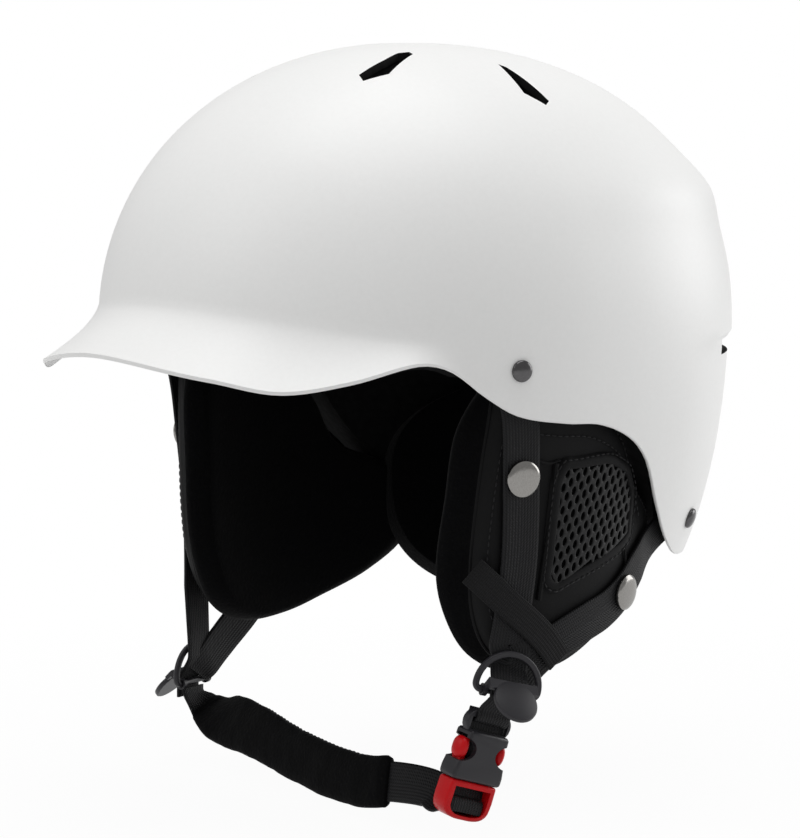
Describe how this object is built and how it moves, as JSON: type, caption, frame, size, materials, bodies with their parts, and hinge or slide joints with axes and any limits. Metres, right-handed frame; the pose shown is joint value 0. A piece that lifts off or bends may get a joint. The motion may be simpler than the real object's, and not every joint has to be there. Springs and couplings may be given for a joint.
{
  "type": "ski helmet",
  "caption": "Ski helmet with a short moulded brim, vented hard shell over foam, padded ear flaps, riveted webbing harness and a side release chin buckle.",
  "frame": {"origin": "on the symmetry plane at the shell's widest level, in the middle of the head space", "axes": "-Y to the front (the brim), +X to the wearer's left, +Z to the crown"},
  "size_m": [0.218, 0.282, 0.2842],
  "materials": {
    "shell": "satin white injection moulded shell",
    "foam": "black expanded polystyrene",
    "plush": "black brushed pile",
    "softshell": "black softshell",
    "net": "black open net",
    "webbing": "black ribbed polyester webbing",
    "nickel": "bright nickel plate",
    "charcoal": "charcoal acetal",
    "red": "red acetal"
  },
  "bodies": {
    "helmet": {"outer_shell": "shell", "foam_front_left": "foam", "foam_front_right": "foam", "foam_rear_left": "foam", "foam_rear_right": "foam", "brow_pad": "plush", "crown_pad": "plush", "nape_pad": "plush", "side_pad_left": "plush", "side_pad_right": "plush", "chin_pad": "plush", "ear_pad_left": "softshell", "ear_net_left": "net", "ear_keeper_left": "webbing", "strap_front_left": "webbing", "strap_rear_left": "webbing", "rivet_front_left": "nickel", "rivet_washer_front_left": "nickel", "snap_cap_front_left": "nickel", "snap_stud_front_left": "nickel", "rivet_rear_left": "nickel", "rivet_washer_rear_left": "nickel", "snap_cap_rear_left": "nickel", "snap_stud_rear_left": "nickel", "divider_ring_left": "charcoal", "ear_pad_right": "softshell", "ear_net_right": "net", "ear_keeper_right": "webbing", "strap_front_right": "webbing", "strap_rear_right": "webbing", "rivet_front_right": "nickel", "rivet_washer_front_right": "nickel", "snap_cap_front_right": "nickel", "snap_stud_front_right": "nickel", "rivet_rear_right": "nickel", "rivet_washer_rear_right": "nickel", "snap_cap_rear_right": "nickel", "snap_stud_rear_right": "nickel", "divider_ring_right": "charcoal", "buckle_socket": "charcoal", "buckle_plug": "red", "chin_strap": "webbing"},
    "flap_left": {"divider_flap_left": "charcoal"},
    "flap_right": {"divider_flap_right": "charcoal"},
    "prong_front": {"buckle_prong_front": "red"},
    "prong_rear": {"buckle_prong_rear": "red"}
  },
  "joints": [
    {"name": "flap_left", "type": "hinge", "parent": "helmet", "child": "flap_left", "pos_m": [0.09295, -0.03237, -0.1275], "axis": [-0.3191, -0.9163, 0.2419], "range_deg": [-25, 15]},
    {"name": "flap_right", "type": "hinge", "parent": "helmet", "child": "flap_right", "pos_m": [-0.09117, -0.03175, -0.1485], "axis": [-0.3289, 0.9444, 0], "range_deg": [-25, 15]},
    {"name": "prong_front", "type": "hinge", "parent": "helmet", "child": "prong_front", "pos_m": [0.08495, -0.05085, -0.15569], "axis": [-0.9866, 0.1335, 0.0935], "range_deg": [0, 6], "stiffness_Nm_per_rad": 0.2},
    {"name": "prong_rear", "type": "hinge", "parent": "helmet", "child": "prong_rear", "pos_m": [0.08654, -0.03568, -0.16053], "axis": [0.9866, -0.1335, -0.0935], "range_deg": [0, 6], "stiffness_Nm_per_rad": 0.2}
  ]
}
